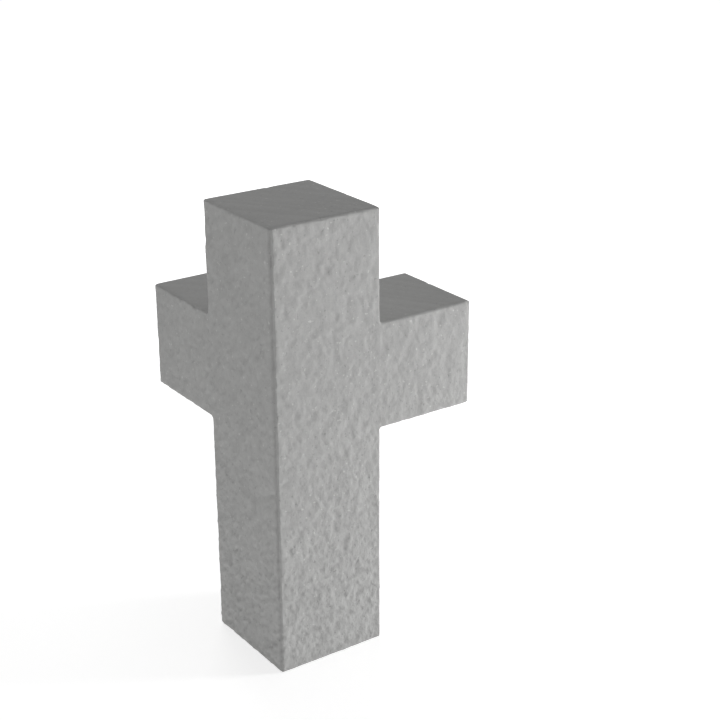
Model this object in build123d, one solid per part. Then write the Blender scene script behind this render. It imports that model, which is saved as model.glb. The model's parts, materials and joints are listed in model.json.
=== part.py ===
from build123d import *
import os

# A cornerstone for a wall of 190 mm blocks laid in 200 mm courses.
# It is one stone. A square shaft stands on the wall's outer corner, and one arm reaches along each
# of the two walls, so that the outer faces together show a cross folded round the corner.
# Units are millimetres, +Z is up, and the origin is the middle of the shaft's foot.
# The two outer faces look along -Y (the right-hand wall) and along -X (the left-hand wall).

# The wall that the stone is bonded into
block_height = 190.0
wall_thickness = 190.0
joint = 10.0
course = block_height + joint

# The stone, counted in the wall's courses
shaft_side = 210.0
arm_length = 190.0
courses_below_arms = 2
courses_above_arms = 1
arm_bottom = courses_below_arms * course + joint
arm_top = arm_bottom + block_height
stone_height = arm_top + courses_above_arms * course
arm_reach = shaft_side + arm_length

# How the edges are dressed
corner_chamfer = 4.0
arris_radius = 3.0
inner_corner_radius = 4.0
square_turn = 80.0

# The outer corner and the far faces, in the stone's own frame
outer = -shaft_side / 2
arm_back = outer + wall_thickness
arm_end = outer + arm_reach
touching = 0.01


def shaft():
    """The square post, from the foot to the top bed."""
    plan = Rectangle(shaft_side, shaft_side)
    return extrude(plan, amount=stone_height)


def arm_course():
    """Both arms and the corner between them: an L in plan, one block high and as deep as the wall."""
    plan = Polyline(
        (outer, outer),
        (arm_end, outer),
        (arm_end, arm_back),
        (arm_back, arm_back),
        (arm_back, arm_end),
        (outer, arm_end),
        close=True,
    )
    return extrude(Plane.XY.offset(arm_bottom) * make_face(plan), amount=block_height)


def is_outer_corner(edge):
    """True for the one long upright edge where the two outer faces meet."""
    middle = edge @ 0.5
    return abs(middle.X - outer) < touching and abs(middle.Y - outer) < touching


def turn_at(stone, edge):
    """How far the surface turns across an edge, in degrees: 0 where it runs on smoothly."""
    sides = [face for face in stone.faces() if any(edge.is_same(rim) for rim in face.edges())]
    normals = [face.normal_at(edge @ 0.5) for face in sides]
    return normals[0].get_angle(normals[1])


def dressed(stone):
    """The stone with its edges worked.

    The corners where an arm meets the shaft are run in with a small hollow. The long outer corner
    gets a chamfer, and every arris that is still square is rubbed to a small round.
    """
    stone = fillet(stone.edges().filter_by(Edge.is_interior), inner_corner_radius)
    stone = chamfer(stone.edges().filter_by(is_outer_corner), corner_chamfer)
    arrises = [edge for edge in stone.edges() if turn_at(stone, edge) > square_turn]
    return fillet(arrises, arris_radius)


def cornerstone():
    """The whole stone, one solid."""
    return dressed(shaft() + arm_course())


os.makedirs("parts", exist_ok=True)
export_step(cornerstone(), "parts/cornerstone.step")
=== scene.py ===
"""Looks of the cornerstone: its dressed surfaces, and the studio that it stands in."""

import json
import logging
import math
from collections.abc import Iterator
from dataclasses import dataclass, field
from enum import Enum

import bpy
import numpy as np
from mathutils import Matrix, Vector


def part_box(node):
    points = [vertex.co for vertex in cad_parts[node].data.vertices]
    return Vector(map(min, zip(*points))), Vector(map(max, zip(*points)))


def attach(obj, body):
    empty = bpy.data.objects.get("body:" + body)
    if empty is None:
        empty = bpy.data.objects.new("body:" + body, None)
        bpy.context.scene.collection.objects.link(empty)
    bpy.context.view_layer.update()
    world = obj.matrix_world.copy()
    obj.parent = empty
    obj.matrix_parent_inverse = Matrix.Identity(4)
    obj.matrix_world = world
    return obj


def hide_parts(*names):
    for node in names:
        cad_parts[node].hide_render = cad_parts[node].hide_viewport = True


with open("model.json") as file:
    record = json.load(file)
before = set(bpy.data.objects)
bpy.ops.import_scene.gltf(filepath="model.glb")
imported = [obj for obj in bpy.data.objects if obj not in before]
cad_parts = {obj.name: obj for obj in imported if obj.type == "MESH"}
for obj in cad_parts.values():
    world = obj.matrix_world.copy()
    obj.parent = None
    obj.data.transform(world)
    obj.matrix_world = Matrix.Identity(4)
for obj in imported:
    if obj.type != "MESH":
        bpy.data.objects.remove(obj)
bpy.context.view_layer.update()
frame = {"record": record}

LOG = logging.getLogger("cornerstone")
MM = 0.001
NODE = "cornerstone"
PIECE = "cornerstone_dressed"
WHITE = (1.0, 1.0, 1.0, 1.0)
# A Mix node's outputs are a value, a vector and a colour, all named alike
COLOUR_RESULT = 2


class Dressing(Enum):
    """How a face of the stone was worked."""

    TOOLED = "tooled"
    SAWN = "sawn"


def linear(colour: str) -> tuple[float, float, float, float]:
    """Turns an sRGB hex colour into a linear one.

    A dark part, up to 0.04045, is divided by 12.92. A lighter one has 0.055 added, is divided by
    1.055 and is raised to the power 2.4.

    Args:
        colour: six hex digits, with or without a hash mark.

    Returns:
        Linear red, green, blue and an alpha of 1.
    """
    digits = colour.lstrip("#")
    parts = [int(digits[i : i + 2], 16) / 255 for i in (0, 2, 4)]
    return (*[c / 12.92 if c <= 0.04045 else ((c + 0.055) / 1.055) ** 2.4 for c in parts], 1.0)


def add_node(
    tree: bpy.types.NodeTree, kind: str, links: dict[str, object] | None = None, **settings: object
) -> bpy.types.Node:
    """Adds one node, with its settings and what goes into its sockets.

    Args:
        tree: the node tree that it goes into.
        kind: Blender's name for the node type.
        links: socket name or identifier to an output socket or a constant.
        settings: attributes of the node itself.

    Returns:
        The new node.
    """
    made = tree.nodes.new(kind)
    for name, value in settings.items():
        setattr(made, name, value)
    for name, value in (links or {}).items():
        socket = next(s for s in made.inputs if name in (s.identifier, s.name) and s.enabled)
        if isinstance(value, bpy.types.NodeSocket):
            tree.links.new(value, socket)
        else:
            socket.default_value = value
    return made


def smooth_step(value: np.ndarray, low: float, high: float) -> np.ndarray:
    """Rises from 0 at low to 1 at high, as three t squared less two t cubed."""
    t = np.clip((value - low) / (high - low), 0, 1)
    return t * t * (3 - 2 * t)


def round_max(a: np.ndarray, b: np.ndarray, radius: float) -> np.ndarray:
    """The distance to where two depths meet in an outer edge, rounded by a quarter circle."""
    over = np.hypot(np.maximum(a + radius, 0), np.maximum(b + radius, 0))
    return np.minimum(np.maximum(a, b), -radius) + over


def round_min(a: np.ndarray, b: np.ndarray, radius: float) -> np.ndarray:
    """The distance to where two depths meet in an inner corner, run in with a quarter circle."""
    under = np.hypot(np.maximum(radius - a, 0), np.maximum(radius - b, 0))
    return np.maximum(np.minimum(a, b), radius) - under


@dataclass(frozen=True)
class Grain:
    """Noise on a lattice of stretched cells, the same on every run."""

    cell: tuple[float, float, float]
    seed: int
    # How many cells along each axis have values of their own, before the noise repeats
    table: int = 64
    plan_turn: float = math.radians(34)
    stagger: tuple[float, float] = (0.35, 0.5)

    def smooth(self, points: np.ndarray) -> np.ndarray:
        """Value noise: each point blends the values of its cell's eight corners.

        Across a cell the blend rises as six t to the fifth, less fifteen t to the fourth, plus
        ten t cubed. The lattice is turned in plan and its columns are staggered upwards, so that
        no flat face cuts it in even rows. Its upright lines stay upright.

        Args:
            points: positions in metres, one row each.

        Returns:
            One value a point, from 0 to 1.
        """
        values = np.random.default_rng(self.seed).random((self.table,) * 3)
        c, s = math.cos(self.plan_turn), math.sin(self.plan_turn)
        turned = np.array([[c, -s, self.stagger[0]], [s, c, self.stagger[1]], [0, 0, 1]])
        place = points @ turned / np.array(self.cell)
        whole = np.floor(place)
        t = place - whole
        t = t * t * t * (t * (t * 6 - 15) + 10)
        total = np.zeros(len(points))
        for shift in np.ndindex(2, 2, 2):
            i, j, k = np.mod(whole + shift, self.table).astype(int).T
            share = np.prod(np.where(shift, t, 1 - t), axis=1)
            total += share * values[i, j, k]
        return total


@dataclass
class StoneForm:
    """The stone's sizes in metres, and how deep any point lies in it.

    Its box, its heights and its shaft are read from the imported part. The arms' depth, the
    chamfer, the rounds and the hollows are the same as there.
    """

    low: Vector = field(default_factory=lambda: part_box(NODE)[0])
    high: Vector = field(default_factory=lambda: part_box(NODE)[1])
    arm_depth: float = 190 * MM
    corner_chamfer: float = 4 * MM
    arris_radius: float = 3 * MM
    hollow_radius: float = 4 * MM
    # How much rounder the stone is that the ways in are taken from, and how its slope is measured
    softening: float = 7 * MM
    slope_step: float = 0.05 * MM
    least_slope: float = 1e-12
    settling_steps: int = 12
    # The planes of the upright faces, alike along X and Y, and the heights of the level ones
    outer: float = field(init=False)
    arm_end: float = field(init=False)
    shaft_back: float = field(init=False)
    arm_back: float = field(init=False)
    arm_bottom: float = field(init=False)
    arm_top: float = field(init=False)
    height: float = field(init=False)

    def __post_init__(self) -> None:
        """Takes the heights and the shaft's far face from the part's own mounts."""
        places = {mount["name"]: mount["pos_m"] for mount in frame["record"]["mounts"]}
        self.outer = self.low.x
        self.arm_end = self.high.x
        self.shaft_back = places["right_shaft_joint_above"][0]
        self.arm_back = self.outer + self.arm_depth
        self.arm_bottom = places["right_arm_underside"][2]
        self.arm_top = places["right_arm_top_bed"][2]
        self.height = self.high.z

    def stops(self) -> tuple[tuple[float, ...], tuple[float, ...], tuple[float, ...]]:
        """The planes of all the stone's faces, along each axis."""
        plan = (self.outer, self.arm_back, self.shaft_back, self.arm_end)
        return plan, plan, (0.0, self.arm_bottom, self.arm_top, self.height)

    def is_filled(self, i: int, j: int, k: int) -> bool:
        """Says whether the box between some stops and the next ones is stone.

        Args:
            i: the number of the box's first stop along X.
            j: the number of its first stop along Y.
            k: the number of its first stop along Z.

        Returns:
            True where it is stone.
        """
        shaft = 0 <= i <= 1 and 0 <= j <= 1 and 0 <= k <= 2
        arm = k == 1 and (i, j) in ((2, 0), (0, 2))
        return shaft or arm

    def depth(self, points: np.ndarray, softened: float = 0.0) -> np.ndarray:
        """The signed distance to the dressed stone's true surface, below 0 inside it.

        The shaft is two back planes meeting in a round edge, and so is each arm. The arms are cut
        to one course, run into the shaft with a hollow, and all of it is cut by the two outer
        planes, the corner's chamfer and the two ends, each pair meeting in a round edge.

        Args:
            points: positions in metres, one row each.
            softened: how much rounder than the true ones all the outer edges are, in metres.

        Returns:
            One distance a point, in metres.
        """
        x, y, z = points.T
        r = self.arris_radius + softened
        shaft = round_max(x - self.shaft_back, y - self.shaft_back, r)
        right = round_max(x - self.arm_end, y - self.arm_back, r)
        left = round_max(x - self.arm_back, y - self.arm_end, r)
        course = round_max(z - self.arm_top, self.arm_bottom - z, r)
        arms = round_max(np.minimum(right, left), course, r)
        body = round_min(shaft, arms, self.hollow_radius)
        to_right_face = self.outer - y
        to_left_face = self.outer - x
        corner = round_max(to_right_face, to_left_face, softened)
        chamfer = (to_right_face + to_left_face + self.corner_chamfer) / math.sqrt(2)
        corner = np.maximum(corner, chamfer)
        ends = round_max(z - self.height, -z, r)
        return round_max(round_max(body, corner, r), ends, r)

    def outwards(self, points: np.ndarray) -> np.ndarray:
        """Finds the way out of the softened stone at each point, from the slope of its depth.

        Args:
            points: positions in metres, one row each.

        Returns:
            One direction a point, one unit long.
        """
        soft = self.softening
        ways = self.slope_step * np.eye(3)
        rises = [self.depth(points + way, soft) - self.depth(points - way, soft) for way in ways]
        slope = np.stack(rises, axis=1)
        return slope / np.maximum(np.linalg.norm(slope, axis=1, keepdims=True), self.least_slope)

    def settle(self, points: np.ndarray, sunk: np.ndarray) -> np.ndarray:
        """Moves points to the surface that lies a given depth under the true one.

        Each point keeps to one straight way in, and each step goes by what is still missing. The
        ways fan out evenly round the softened edges, so that no two of them cross on the way.

        Args:
            points: positions in metres, one row each.
            sunk: how deep under the true surface each one ends, in metres.

        Returns:
            The settled positions.
        """
        ways = self.outwards(points)
        for _ in range(self.settling_steps):
            points = points - (self.depth(points) + sunk)[:, None] * ways
        return points


@dataclass(frozen=True)
class Patch:
    """One flat rectangle of the stone's rough form.

    It faces along one axis, one way or the other, and lies in one of that axis's stops. Along
    each of the other two axes it runs from one stop, its first, to the next.
    """

    axis: int
    plane: int
    first: tuple[int, int]
    outward: int
    dressing: Dressing


@dataclass
class StoneGrid:
    """A closed net of cells over the stone: fine on the tooled faces, coarse on the sawn ones."""

    form: StoneForm
    # The step between two lines, and how many such steps a sawn face takes at once
    fine: float = 2.5 * MM
    coarse: int = 3
    # The rows next to an edge lie close together, and on the outer corner they frame the chamfer
    edge_rows: tuple[float, ...] = (1.0 * MM, 2.2 * MM, 3.8 * MM)
    corner_rows: tuple[float, ...] = (1.8 * MM, 3.6 * MM, 4.4 * MM)
    # Lines that agree to this many digits of a metre are one, and are found to this distance
    digits: int = 7
    same_line: float = 1e-7
    lines: list[np.ndarray] = field(init=False)
    stop_index: list[np.ndarray] = field(init=False)

    def __post_init__(self) -> None:
        """Works out the lines along each axis, and where the stops lie among them."""
        self.lines = []
        self.stop_index = []
        first_rows = (self.corner_rows, self.corner_rows, self.edge_rows)
        for stops, rows in zip(self.form.stops(), first_rows):
            lines = self._graded(stops, rows)
            self.lines.append(lines)
            self.stop_index.append(np.searchsorted(lines, np.array(stops) - self.same_line))

    def _graded(self, stops: tuple[float, ...], first_rows: tuple[float, ...]) -> np.ndarray:
        """Lines from the first stop to the last: rows close to each stop, even steps between.

        Args:
            stops: the planes of the faces along one axis.
            first_rows: how far the rows lie from the first stop.

        Returns:
            The lines' places, rising.
        """
        rows = np.array(self.edge_rows)
        starts = [np.array(first_rows)] + [rows] * (len(stops) - 2)
        found = [np.array(stops)]
        for low, high, start in zip(stops, stops[1:], starts):
            inner = (low + start[-1], high - rows[-1])
            count = max(1, round((inner[1] - inner[0]) / self.fine))
            found += [low + start, high - rows, np.linspace(*inner, count + 1)]
        return np.unique(np.round(np.concatenate(found), self.digits))

    def patches(self) -> Iterator[Patch]:
        """Finds every face between a filled box and an empty one, the two outer planes tooled.

        Returns:
            The patches, one after another.
        """
        for box in np.ndindex(3, 3, 3):
            if not self.form.is_filled(*box):
                continue
            for axis in range(3):
                for outward in (-1, 1):
                    beyond = list(box)
                    beyond[axis] += outward
                    if self.form.is_filled(*beyond):
                        continue
                    plane = box[axis] + (outward + 1) // 2
                    tooled = axis < 2 and plane == 0
                    first = (box[(axis + 1) % 3], box[(axis + 2) % 3])
                    dressing = Dressing.TOOLED if tooled else Dressing.SAWN
                    yield Patch(axis, plane, first, outward, dressing)

    def _run(self, axis: int, stop: int, dressing: Dressing) -> np.ndarray:
        """The lines that a patch uses from one stop to the next.

        A tooled patch uses all of them. A sawn one uses the rows at its edges, and every few of
        the lines between.

        Args:
            axis: the axis that the lines are counted along.
            stop: the number of the stop that they start from.
            dressing: how the patch is worked.

        Returns:
            The lines' numbers, rising.
        """
        start, end = self.stop_index[axis][stop], self.stop_index[axis][stop + 1]
        every = np.arange(start, end + 1)
        if dressing is Dressing.TOOLED:
            return every
        rows = len(self.edge_rows)
        inner = np.arange(start + rows, end - rows, self.coarse)
        return np.unique(np.concatenate([every[: rows + 1], inner, every[-rows - 1 :]]))

    def cells(self, patch: Patch) -> list[np.ndarray]:
        """The cells of one patch, as rows of corners on the lattice.

        Inner cells have four corners. A cell at the border also has every fine line's point on
        that border, so that it meets a finer patch without a gap.

        Args:
            patch: the rectangle to cover.

        Returns:
            Arrays of cells by corners by 3, each corner as its line numbers along X, Y and Z.
        """
        axes = ((patch.axis + 1) % 3, (patch.axis + 2) % 3)
        u, v = (self._run(axis, stop, patch.dressing) for axis, stop in zip(axes, patch.first))
        last_a, last_b = len(u) - 2, len(v) - 2
        a, b = np.meshgrid(np.arange(last_a + 1), np.arange(last_b + 1), indexing="ij")
        a, b = a.ravel(), b.ravel()
        wide = np.diff(u)[a]
        tall = np.diff(v)[b]
        found = []
        for extra in np.unique(np.concatenate([wide, tall])):
            for side in range(4):
                on_side = (b == 0, a == last_a, b == last_b, a == 0)[side]
                span = (wide, tall)[side % 2]
                chosen = on_side & (span == extra) & (extra > 1)
                if chosen.any():
                    found.append(self._ring(u, v, a[chosen], b[chosen], side, int(extra)))
        at_side = (b == 0) | (b == last_b)
        at_end = (a == 0) | (a == last_a)
        plain = ~((at_side & (wide > 1)) | (at_end & (tall > 1)))
        found.append(self._ring(u, v, a[plain], b[plain], 0, 1))
        return [self._on_lattice(group, patch, axes) for group in found]

    def _ring(
        self, u: np.ndarray, v: np.ndarray, a: np.ndarray, b: np.ndarray, side: int, steps: int
    ) -> np.ndarray:
        """Corners round each cell, going round from u0 v0, with one side cut into fine steps.

        Args:
            u: lines along the patch's first axis.
            v: lines along its second axis.
            a: each cell's place among u.
            b: each cell's place among v.
            side: which side is cut: 0 along u at v0, 1 along v at u1, 2 along u at v1, 3 along v
                at u0.
            steps: how many fine steps that side has.

        Returns:
            An array of cells by corners by 2.
        """
        corners = [(u[a], v[b]), (u[a + 1], v[b]), (u[a + 1], v[b + 1]), (u[a], v[b + 1])]
        start, end = corners[side], corners[(side + 1) % 4]
        between = []
        for n in range(1, steps):
            du = np.sign(end[0] - start[0]) * n
            dv = np.sign(end[1] - start[1]) * n
            between.append((start[0] + du, start[1] + dv))
        corners[side + 1 : side + 1] = between
        return np.stack([np.stack(c, axis=1) for c in corners], axis=1)

    def _on_lattice(self, cells: np.ndarray, patch: Patch, axes: tuple[int, int]) -> np.ndarray:
        """Adds the patch's own plane to its cells, and turns them to face outwards.

        Args:
            cells: an array of cells by corners by 2.
            patch: the rectangle that they cover.
            axes: the two axes that the corners are counted along.

        Returns:
            An array of cells by corners by 3.
        """
        full = np.empty((*cells.shape[:2], 3), int)
        full[..., patch.axis] = self.stop_index[patch.axis][patch.plane]
        full[..., axes[0]] = cells[..., 0]
        full[..., axes[1]] = cells[..., 1]
        return full if patch.outward > 0 else full[:, ::-1]

    def net(self) -> tuple[np.ndarray, list[list[int]]]:
        """The whole closed net on the rough form.

        Returns:
            The points in metres, and the cells as lists of point numbers.
        """
        groups = [cells for patch in self.patches() for cells in self.cells(patch)]
        counts = [len(lines) for lines in self.lines]
        numbers = [(g[..., 0] * counts[1] + g[..., 1]) * counts[2] + g[..., 2] for g in groups]
        used = np.unique(np.concatenate([n.ravel() for n in numbers]))
        i, rest = np.divmod(used, counts[1] * counts[2])
        j, k = np.divmod(rest, counts[2])
        points = np.stack([self.lines[0][i], self.lines[1][j], self.lines[2][k]], axis=1)
        cells = [row for n in numbers for row in np.searchsorted(used, n).tolist()]
        return points, cells


@dataclass
class Relief:
    """How deep the mason's tools and wear went into each point of the surface."""

    form: StoneForm
    # Each kind of mark: the size of one, and the seed of its noise
    stroke: Grain = Grain((12 * MM, 12 * MM, 15 * MM), 11)
    dapple: Grain = Grain((13 * MM, 13 * MM, 9 * MM), 16)
    peck: Grain = Grain((8.5 * MM, 8.5 * MM, 8.5 * MM), 12)
    grit: Grain = Grain((4.5 * MM, 4.5 * MM, 4.5 * MM), 13)
    waver: Grain = Grain((28 * MM, 28 * MM, 45 * MM), 14)
    bite: Grain = Grain((14 * MM, 14 * MM, 22 * MM), 15)
    # How deep each goes on a tooled face, the least sum of them, and how deep a sawn face wavers
    stroke_depth: float = 1.85 * MM
    peck_depth: float = 1.55 * MM
    grit_depth: float = 0.85 * MM
    waver_depth: float = 1.0 * MM
    least_depth: float = 1.3 * MM
    sawn_depth: float = 0.2 * MM
    # The pecks' and the grit's share on fresh stone, and what full weathering adds to it
    fresh_share: float = 0.8
    opened_share: float = 0.8
    # How far in the edges reach, how evenly they are tooled, and the depths of what is done there
    edge_reach: float = 5 * MM
    edge_care: float = 0.55
    edge_depth: float = 1.3 * MM
    wear_depth: float = 0.3 * MM
    bite_depth: float = 1.6 * MM
    rub_depth: float = 0.7 * MM
    # How strong the darkening is: on the outer corner at least, there in streaks, and at the foot
    corner_darkening: float = 0.2
    streak_darkening: float = 0.4
    foot_darkening: float = 0.05
    # How far to the left of the outer corner's middle its darkening lies
    darkening_shift: float = 5.0 * MM
    # A rise starts at its first value and is full at its second, and a fall is over at its second
    bite_rise: tuple[float, float] = (0.7, 0.95)
    rub_rise: tuple[float, float] = (-4 * MM, -3 * MM)
    rub_fall: tuple[float, float] = (3 * MM, 7 * MM)
    stroke_rise: tuple[float, float] = (110 * MM, 400 * MM)
    tooled_fall: tuple[float, float] = (0.5 * MM, 5 * MM)
    weathering_and_foot_light_fall: tuple[float, float] = (0 * MM, 650 * MM)
    corner_darkening_fall: tuple[float, float] = (1 * MM, 7 * MM)
    foot_darkening_fall: tuple[float, float] = (4 * MM, 25 * MM)

    def tooled(self, points: np.ndarray) -> np.ndarray:
        """How far a point belongs to the tooled outer faces: 1 on them, 0 a little behind."""
        behind = np.minimum(points[:, 0], points[:, 1]) - self.form.outer
        return 1 - smooth_step(behind, *self.tooled_fall)

    def edge_nearness(self, points: np.ndarray) -> np.ndarray:
        """How near a point is to an outer edge.

        The depths at six points round it, one reach away along each axis, add up to nothing on a
        flat face. Near an outer edge more of the six stand clear of the stone, and the sum grows
        to about two reaches on the edge itself.

        Args:
            points: positions in metres, one row each.

        Returns:
            One value a point: 1 on the edge, 0 from the edge's reach onwards.
        """
        reach = self.edge_reach
        around = [sign * reach * np.eye(3)[axis] for axis in range(3) for sign in (-1, 1)]
        total = sum(np.clip(self.form.depth(points + way) / reach, -1, 1) for way in around)
        return np.clip(total / 2, 0, 1)

    def weathered(self, points: np.ndarray) -> np.ndarray:
        """How far the weather has opened the stone's grain: 1 at the foot, 0 well above it."""
        # The same ramp also paints the colour paler towards the foot, as painted light
        return 1 - smooth_step(points[:, 2], *self.weathering_and_foot_light_fall)

    def tool_marks(self, points: np.ndarray) -> np.ndarray:
        """How deep the tools went: upright strokes above, dapples at the foot, pecks in both.

        Each is noise at its own size, and the sum has all of them. Where the stone is weathered,
        the pecks and the grit are deeper.

        Args:
            points: positions in metres, one row each.

        Returns:
            One depth a point, in metres.
        """
        upright = smooth_step(points[:, 2], *self.stroke_rise)
        broad = upright * self.stroke.smooth(points) + (1 - upright) * self.dapple.smooth(points)
        pecks = self.peck_depth * self.peck.smooth(points)
        fine = pecks + self.grit_depth * self.grit.smooth(points)
        share = self.fresh_share + self.opened_share * self.weathered(points)
        return self.stroke_depth * broad + share * fine

    def hollow(self, points: np.ndarray) -> np.ndarray:
        """How far down in the tool marks a point of the tooled faces is.

        Args:
            points: positions in metres, one row each.

        Returns:
            One value a point: 0 at the top of the marks, and twice as much at the stone's foot as
            well above it for the same depth.
        """
        # The finish darkens the colour by this value, as painted shade in the tool marks
        deepest = self.stroke_depth + self.peck_depth + self.grit_depth
        doubled_at_foot = 1 + self.weathered(points)
        return self.tooled(points) * doubled_at_foot * self.tool_marks(points) / deepest

    def sunk(self, points: np.ndarray) -> np.ndarray:
        """The whole relief, nowhere below 0, so that nothing stands proud.

        The marks' least depth is taken off, so that the highest spots lie in the true face. Along
        the edges the marks are kept nearer to one depth, so that the edges run straighter. All
        the outer edges are worn and bitten, and the corner is rubbed too, a little to the left.

        Args:
            points: positions in metres, one row each.

        Returns:
            One depth a point, in metres.
        """
        tooled = self.tooled(points)
        near = self.edge_nearness(points)
        waver = self.waver.smooth(points)
        rough = self.tool_marks(points) + self.waver_depth * waver - self.least_depth
        rough = np.maximum(rough, 0)
        rough += self.edge_care * near * (self.edge_depth - rough)
        bitten = smooth_step(self.bite.smooth(points), *self.bite_rise)
        across = points[:, 1] - points[:, 0]
        rubbed = smooth_step(across, *self.rub_rise) * (1 - smooth_step(across, *self.rub_fall))
        worn = self.wear_depth * near**2 + self.bite_depth * near * bitten
        worn += self.rub_depth * rubbed * tooled
        return tooled * rough + (1 - tooled) * self.sawn_depth * waver + worn

    def soil(self, points: np.ndarray) -> np.ndarray:
        """How much darker a point is coloured: along the whole outer corner, and faintly round the
        foot.

        Going round the outer corner, the distance along one face counts up and along the other
        counts down, so it is 0 in the middle of the chamfer. The darkening lies a little to the
        left.

        Args:
            points: positions in metres, one row each.

        Returns:
            One value a point, from 0 to 1.
        """
        along = np.abs(points[:, 1] - points[:, 0] - self.darkening_shift)
        corner = 1 - smooth_step(along, *self.corner_darkening_fall)
        uneven = self.corner_darkening + self.streak_darkening * self.stroke.smooth(points)
        foot = 1 - smooth_step(points[:, 2], *self.foot_darkening_fall)
        # Darker colour along the outer corner, a little to its left, and faintly at the foot
        return self.tooled(points) * np.maximum(corner * uneven, self.foot_darkening * foot)


@dataclass(frozen=True)
class StonePatterns:
    """The patterns that colour and height share, each an output among the finish's nodes."""

    place: bpy.types.NodeSocket
    weathered: bpy.types.NodeSocket
    grain: bpy.types.NodeSocket
    minerals: bpy.types.NodeSocket
    pores: bpy.types.NodeSocket
    pecks: bpy.types.NodeSocket
    arcs: bpy.types.NodeSocket


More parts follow.
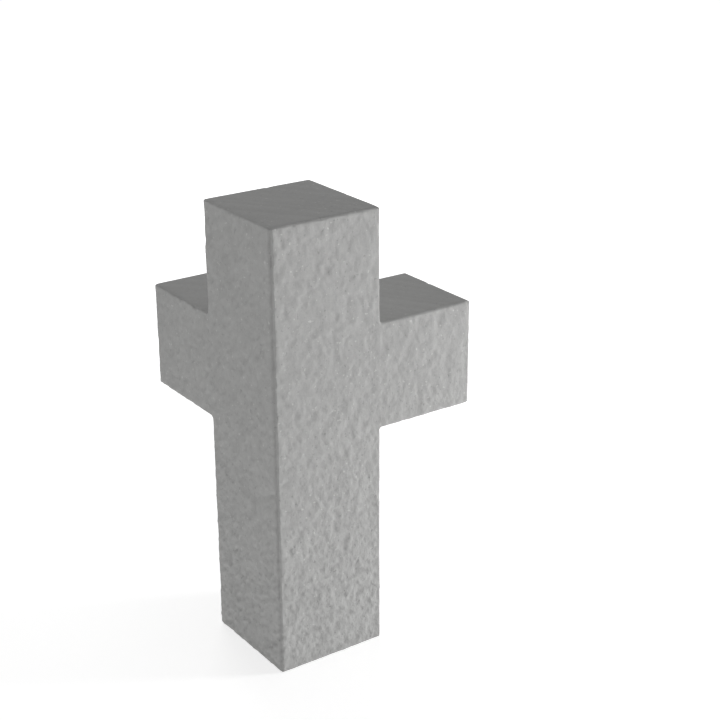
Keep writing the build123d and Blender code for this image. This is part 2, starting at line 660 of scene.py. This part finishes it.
@dataclass(frozen=True)
class TooledLimestone:
    """Grey limestone, tooled on its outer faces and sawn behind.

    The blows leave a matt, finely broken skin: its hollows are darkened as painted shade and its
    ridges are paler. The saw leaves faint arcs. On all faces small pores are open, a few shell
    grains show as flecks, and nothing shines.
    """

    name: str = "limestone_tooled"
    pale: str = "#a5a5a4"
    dark: str = "#8e8e8d"
    fleck: str = "#c6c6c4"
    speck: str = "#777776"
    # The darker tone laid along the outer corner and faintly round the foot
    darkening_tone: str = "#868685"
    ior: float = 1.5
    roughness: float = 0.92
    streak_size: tuple[float, float, float] = (9 * MM, 9 * MM, 18 * MM)
    cloud_size: float = 120 * MM
    # The stone's own grain is under 1 mm, and is drawn this coarse so that it shows
    grain_size: float = 2.5 * MM
    mineral_size: float = 6 * MM
    peck_size: tuple[float, float, float] = (6 * MM, 6 * MM, 8 * MM)
    # The point in metres that the saw's arcs run round, and how far apart they are
    saw_centre: tuple[float, float, float] = (-1.1, -0.8, -0.6)
    saw_pitch: float = 12 * MM
    # The size of one unit of height on fresh and on weathered stone, and each pattern's units
    fresh_unit: float = 0.6 * MM
    open_unit: float = 1.8 * MM
    grit_height: float = 0.35
    peck_height: float = 0.4
    saw_height: float = 0.3
    pore_depth: float = 0.3
    # How far each pattern moves the colour from dark to pale, and where it starts from
    # Painted light: the foot's colour is made paler, to make up for the weaker light that reaches
    # it
    foot_painted_light: float = 0.65
    streak_pale: float = 0.45
    cloud_pale: float = 0.45
    grain_pale: float = 0.45
    peck_pale: float = 0.1
    arc_pale: float = 0.4
    # The hollows are darkened as painted shade, the more the deeper they lie
    hollow_painted_shade: float = 0.4
    start_pale: float = -0.06
    # The minerals' values that make a fleck or a pore, and how much each covers
    fleck_band: tuple[float, float] = (0.7, 0.76)
    pore_band: tuple[float, float] = (0.31, 0.25)
    fleck_cover: float = 0.45
    pore_cover: float = 0.35
    darkening_cover: float = 1.0

    def make(self) -> bpy.types.Material:
        """Builds the material: layered colour, and grit and saw marks finer than the mesh as bump.

        Returns:
            The finished material.
        """
        material = bpy.data.materials.new(self.name)
        material.use_nodes = True
        tree = material.node_tree
        tree.nodes.clear()
        patterns = self.patterned(tree)
        unit = add_node(
            tree,
            "ShaderNodeMapRange",
            {"Value": patterns.weathered, "To Min": self.fresh_unit, "To Max": self.open_unit},
        )
        bump = add_node(
            tree,
            "ShaderNodeBump",
            {
                "Height": self.heights(tree, patterns),
                "Distance": unit.outputs["Result"],
                "Strength": 1.0,
            },
        )
        shader = add_node(
            tree,
            "ShaderNodeBsdfPrincipled",
            {
                "Base Color": self.coloured(tree, patterns),
                "Roughness": self.roughness,
                "IOR": self.ior,
                "Normal": bump.outputs["Normal"],
            },
        )
        add_node(tree, "ShaderNodeOutputMaterial", {"Surface": shader.outputs["BSDF"]})
        return material

    def patterned(self, tree: bpy.types.NodeTree) -> StonePatterns:
        """Adds the shared patterns to the finish's nodes.

        A peck is a cell that counts the distance to its own middle, on the tooled faces only. An
        arc is noise along the distance from the saw's middle, so that it runs round in circles, on
        the sawn faces only. A pore is where the mineral noise is lowest.

        Args:
            tree: the material's nodes.

        Returns:
            The patterns.
        """
        place = add_node(tree, "ShaderNodeTexCoord").outputs["Object"]
        weathered = add_node(tree, "ShaderNodeAttribute", attribute_name="weathered")
        tooled = add_node(tree, "ShaderNodeAttribute", attribute_name="tooled").outputs["Fac"]
        sawn = add_node(
            tree, "ShaderNodeMath", {"Value": 1.0, "Value_001": tooled}, operation="SUBTRACT"
        )
        grain = add_node(
            tree,
            "ShaderNodeTexNoise",
            {"Vector": place, "Scale": 1 / self.grain_size, "Detail": 4.0},
        )
        minerals = add_node(
            tree,
            "ShaderNodeTexNoise",
            {"Vector": place, "Scale": 1 / self.mineral_size, "Detail": 1.0},
        )
        pores = add_node(
            tree,
            "ShaderNodeMapRange",
            {
                "Value": minerals.outputs["Fac"],
                "From Min": self.pore_band[0],
                "From Max": self.pore_band[1],
            },
        )
        stretched = add_node(
            tree,
            "ShaderNodeMapping",
            {"Vector": place, "Scale": tuple(1 / size for size in self.peck_size)},
        )
        cells = add_node(
            tree,
            "ShaderNodeTexVoronoi",
            {"Vector": stretched.outputs["Vector"], "Scale": 1.0, "Detail": 1.0, "Roughness": 0.5},
        )
        pecks = add_node(
            tree,
            "ShaderNodeMath",
            {"Value": cells.outputs["Distance"], "Value_001": tooled},
            operation="MULTIPLY",
        )
        reach = add_node(
            tree,
            "ShaderNodeVectorMath",
            {"Vector": place, "Vector_001": self.saw_centre},
            operation="DISTANCE",
        )
        turns = add_node(
            tree,
            "ShaderNodeTexNoise",
            {"W": reach.outputs["Value"], "Scale": 1 / self.saw_pitch, "Detail": 2.0},
            noise_dimensions="1D",
        )
        arcs = add_node(
            tree,
            "ShaderNodeMath",
            {"Value": turns.outputs["Fac"], "Value_001": sawn.outputs["Value"]},
            operation="MULTIPLY",
        )
        return StonePatterns(
            place=place,
            weathered=weathered.outputs["Fac"],
            grain=grain.outputs["Fac"],
            minerals=minerals.outputs["Fac"],
            pores=pores.outputs["Result"],
            pecks=pecks.outputs["Value"],
            arcs=arcs.outputs["Value"],
        )

    def layered(
        self,
        tree: bpy.types.NodeTree,
        layers: tuple[tuple[bpy.types.NodeSocket, float], ...],
        start: float,
    ) -> bpy.types.NodeSocket:
        """Adds patterns up: the start, and each pattern times its strength.

        Args:
            tree: the material's nodes.
            layers: each pattern with its strength.
            start: the sum before the first pattern.

        Returns:
            The sum.
        """
        total = start
        for source, strength in layers:
            total = add_node(
                tree,
                "ShaderNodeMath",
                {"Value": source, "Value_001": strength, "Value_002": total},
                operation="MULTIPLY_ADD",
            ).outputs["Value"]
        return total

    def coloured(
        self, tree: bpy.types.NodeTree, patterns: StonePatterns
    ) -> bpy.types.NodeSocket:
        """Mixes dark and pale stone by the sum of its patterns, then adds flecks, pores and
        darkening.

        Args:
            tree: the material's nodes.
            patterns: what colour and height share.

        Returns:
            The colour.
        """
        stretched = add_node(
            tree,
            "ShaderNodeMapping",
            {"Vector": patterns.place, "Scale": tuple(1 / size for size in self.streak_size)},
        )
        streaks = add_node(
            tree,
            "ShaderNodeTexNoise",
            {"Vector": stretched.outputs["Vector"], "Scale": 1.0, "Detail": 2.0},
        )
        clouds = add_node(
            tree,
            "ShaderNodeTexNoise",
            {"Vector": patterns.place, "Scale": 1 / self.cloud_size, "Detail": 3.0},
        )
        # Painted shade: the colour darkens with depth in the tool marks, twice as much at the foot
        hollow = add_node(tree, "ShaderNodeAttribute", attribute_name="hollow")
        layers = (
            # Painted light: paler towards the foot
            (patterns.weathered, self.foot_painted_light),
            (streaks.outputs["Fac"], self.streak_pale),
            (clouds.outputs["Fac"], self.cloud_pale),
            (patterns.grain, self.grain_pale),
            (patterns.pecks, self.peck_pale),
            (patterns.arcs, self.arc_pale),
            (hollow.outputs["Fac"], -self.hollow_painted_shade),
        )
        stone = add_node(
            tree,
            "ShaderNodeMix",
            {
                "Factor_Float": self.layered(tree, layers, self.start_pale),
                "A_Color": linear(self.dark),
                "B_Color": linear(self.pale),
            },
            data_type="RGBA",
        )
        flecks = add_node(
            tree,
            "ShaderNodeMapRange",
            {
                "Value": patterns.minerals,
                "From Min": self.fleck_band[0],
                "From Max": self.fleck_band[1],
            },
        )
        # Darker colour along the outer corner and faintly round the foot
        soil = add_node(tree, "ShaderNodeAttribute", attribute_name="soil")
        covers = (
            (flecks.outputs["Result"], self.fleck_cover, self.fleck),
            (patterns.pores, self.pore_cover, self.speck),
            (soil.outputs["Fac"], self.darkening_cover, self.darkening_tone),
        )
        for cover, most, tint in covers:
            share = add_node(
                tree, "ShaderNodeMath", {"Value": cover, "Value_001": most}, operation="MULTIPLY"
            )
            stone = add_node(
                tree,
                "ShaderNodeMix",
                {
                    "Factor_Float": share.outputs["Value"],
                    "A_Color": stone.outputs[COLOUR_RESULT],
                    "B_Color": linear(tint),
                },
                data_type="RGBA",
            )
        return stone.outputs[COLOUR_RESULT]

    def heights(self, tree: bpy.types.NodeTree, patterns: StonePatterns) -> bpy.types.NodeSocket:
        """Adds up grit, pecks and the saw's arcs, and takes off the pores.

        Args:
            tree: the material's nodes.
            patterns: what colour and height share.

        Returns:
            The height, in units that are small on fresh stone and larger on weathered stone.
        """
        layers = (
            (patterns.grain, self.grit_height),
            (patterns.pecks, self.peck_height),
            (patterns.arcs, self.saw_height),
            (patterns.pores, -self.pore_depth),
        )
        return self.layered(tree, layers, 0.0)


@dataclass
class DressedStone:
    """The stone as it is seen: the settled net, dressed and finished."""

    form: StoneForm
    grid: StoneGrid
    relief: Relief
    finish: TooledLimestone

    def build(self) -> bpy.types.Object:
        """Makes the stone's mesh, gives it its finish and puts it in the frame.

        Returns:
            The finished piece.
        """
        rough, cells = self.grid.net()
        points = self.form.settle(rough, self.relief.sunk(rough))
        mesh = bpy.data.meshes.new(PIECE)
        mesh.from_pydata(points.tolist(), [], cells)
        mesh.update()
        mesh.shade_smooth()
        kept = {
            "tooled": self.relief.tooled(rough),
            "hollow": self.relief.hollow(rough),
            "weathered": self.relief.weathered(rough),
            "soil": self.relief.soil(rough),
        }
        for name, values in kept.items():
            attribute = mesh.attributes.new(name, "FLOAT", "POINT")
            attribute.data.foreach_set("value", values.astype(np.float32))
        mesh.materials.append(self.finish.make())
        piece = bpy.data.objects.new(PIECE, mesh)
        bpy.context.scene.collection.objects.link(piece)
        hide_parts(NODE)
        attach(piece, "root")
        return piece


@dataclass(frozen=True)
class StudioPaper:
    """Matt studio paper: it takes soft shade, and never shines.

    It also glows, more and more away from the stone, so that it shows as plain white.
    """

    name: str = "studio_paper_matt"
    colour: str = "#e6e6e6"
    near_glow: float = 0.6
    far_glow: float = 0.8
    # How far from the stone's foot the glow starts to rise, and where it is full, in metres
    glow_rise: tuple[float, float] = (0.6, 3.0)

    def make(self) -> bpy.types.Material:
        """Builds the material, with a glow that rises smoothly with the distance from the stone.

        Returns:
            The finished material.
        """
        material = bpy.data.materials.new(self.name)
        material.use_nodes = True
        tree = material.node_tree
        tree.nodes.clear()
        place = add_node(tree, "ShaderNodeTexCoord").outputs["Object"]
        reach = add_node(tree, "ShaderNodeVectorMath", {"Vector": place}, operation="LENGTH")
        glow = add_node(
            tree,
            "ShaderNodeMapRange",
            {
                "Value": reach.outputs["Value"],
                "From Min": self.glow_rise[0],
                "From Max": self.glow_rise[1],
                "To Min": self.near_glow,
                "To Max": self.far_glow,
            },
            interpolation_type="SMOOTHSTEP",
        )
        shader = add_node(
            tree,
            "ShaderNodeBsdfPrincipled",
            {
                "Base Color": linear(self.colour),
                "Roughness": 1.0,
                "Specular IOR Level": 0.0,
                "Emission Color": WHITE,
                "Emission Strength": glow.outputs["Result"],
            },
        )
        add_node(tree, "ShaderNodeOutputMaterial", {"Surface": shader.outputs["BSDF"]})
        return material


@dataclass(frozen=True)
class Lamp:
    """One square soft lamp, aimed at the middle of the stone."""

    name: str
    place: tuple[float, float, float]
    size: float
    watts: float
    aim: tuple[float, float, float] = (0, 0, 0.4)

    def hang(self) -> None:
        """Hangs the lamp in its place and turns it to its aim."""
        light = bpy.data.lights.new(self.name, "AREA")
        light.shape = "SQUARE"
        light.size = self.size
        light.energy = self.watts
        lamp = bpy.data.objects.new(self.name, light)
        lamp.location = self.place
        way = Vector(self.aim) - Vector(self.place)
        lamp.rotation_euler = way.to_track_quat("-Z", "Y").to_euler()
        bpy.context.scene.collection.objects.link(lamp)


@dataclass
class Studio:
    """A pale floor, soft light from the right and a camera at the photograph's angle."""

    # Where the camera stands in metres, its angles in degrees, and its lens in millimetres
    camera_place: tuple[float, float, float] = (-1.3136, -2.0871, 1.5105)
    azimuth: float = -34.77
    elevation: float = 21.81
    roll: float = -0.34
    lens: float = 78.67
    sensor_width: float = 36.0
    # The floor is a disc of paper, with this many points to a ring and this many rings
    floor_radius: float = 60.0
    floor_sides: int = 96
    floor_rings: int = 24
    paper: StudioPaper = StudioPaper()
    sky_strength: float = 0.27
    lamps: tuple[Lamp, ...] = (
        Lamp("key", (2.6, -1.5, 0.45), 0.6, 73.8),
        Lamp("fill", (-2.6, -0.1, 0.5), 1.6, 9.1),
        Lamp("top", (0.2, 0.3, 3.2), 1.8, 12.0),
        Lamp("back", (1.2, 2.9, 1.7), 1.8, 27.0),
    )

    def build(self) -> None:
        """Makes the floor, the lights and the camera."""
        self.lay_floor()
        self.light_world()
        for lamp in self.lamps:
            lamp.hang()
        self.set_camera()

    def lay_floor(self) -> None:
        """A flat disc: rings of points, joined round the middle.

        The rings' radius grows as the cube of their number, so they lie close near the stone.
        """
        sides, rings = self.floor_sides, self.floor_rings
        angle = np.linspace(0, 2 * math.pi, sides, endpoint=False)
        radius = self.floor_radius * np.linspace(0, 1, rings + 1)[1:] ** 3
        ring = np.stack([np.cos(angle), np.sin(angle), np.zeros(sides)], axis=1)
        points = np.concatenate([[[0, 0, 0]], (radius[:, None, None] * ring).reshape(-1, 3)])
        here = np.arange(sides)
        following = (here + 1) % sides
        middle = np.stack([np.zeros(sides, int), 1 + here, 1 + following], axis=1).tolist()
        band = np.stack([here, here + sides, following + sides, following], axis=1)
        bands = [band + 1 + n * sides for n in range(rings - 1)]
        mesh = bpy.data.meshes.new("floor")
        mesh.from_pydata(points.tolist(), [], middle + np.concatenate(bands).tolist())
        mesh.materials.append(self.paper.make())
        floor = bpy.data.objects.new("floor", mesh)
        bpy.context.scene.collection.objects.link(floor)

    def light_world(self) -> None:
        """Soft even light from all round."""
        world = bpy.data.worlds.new("studio_light")
        bpy.context.scene.world = world
        world.use_nodes = True
        background = world.node_tree.nodes["Background"]
        background.inputs["Color"].default_value = WHITE
        background.inputs["Strength"].default_value = self.sky_strength

    def set_camera(self) -> None:
        """Stands the camera where the photograph was seen from, turned by its three angles."""
        turn = math.radians(self.azimuth)
        rise = math.radians(self.elevation)
        flat = math.cos(rise)
        back = Vector((math.sin(turn) * flat, -math.cos(turn) * flat, math.sin(rise)))
        right = Vector((math.cos(turn), math.sin(turn), 0))
        up = back.cross(right)
        tip = math.radians(self.roll)
        level_right = math.cos(tip) * right + math.sin(tip) * up
        level_up = math.cos(tip) * up - math.sin(tip) * right
        lens = bpy.data.cameras.new("camera")
        lens.lens = self.lens
        lens.sensor_width = self.sensor_width
        camera = bpy.data.objects.new("camera", lens)
        pose = Matrix((level_right, level_up, back)).transposed().to_4x4()
        pose.translation = Vector(self.camera_place)
        camera.matrix_world = pose
        bpy.context.scene.collection.objects.link(camera)
        bpy.context.scene.camera = camera


def main() -> None:
    """Builds the stone and the studio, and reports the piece."""
    logging.basicConfig(level=logging.INFO, format="%(name)s %(message)s")
    form = StoneForm()
    stone = DressedStone(form, StoneGrid(form), Relief(form), TooledLimestone()).build()
    LOG.info("%s: %d cells", stone.name, len(stone.data.polygons))
    Studio().build()
    # The greys are matched as plain sRGB, with no film curve over them
    bpy.context.scene.view_settings.view_transform = "Standard"


if __name__ == "__main__":
    main()
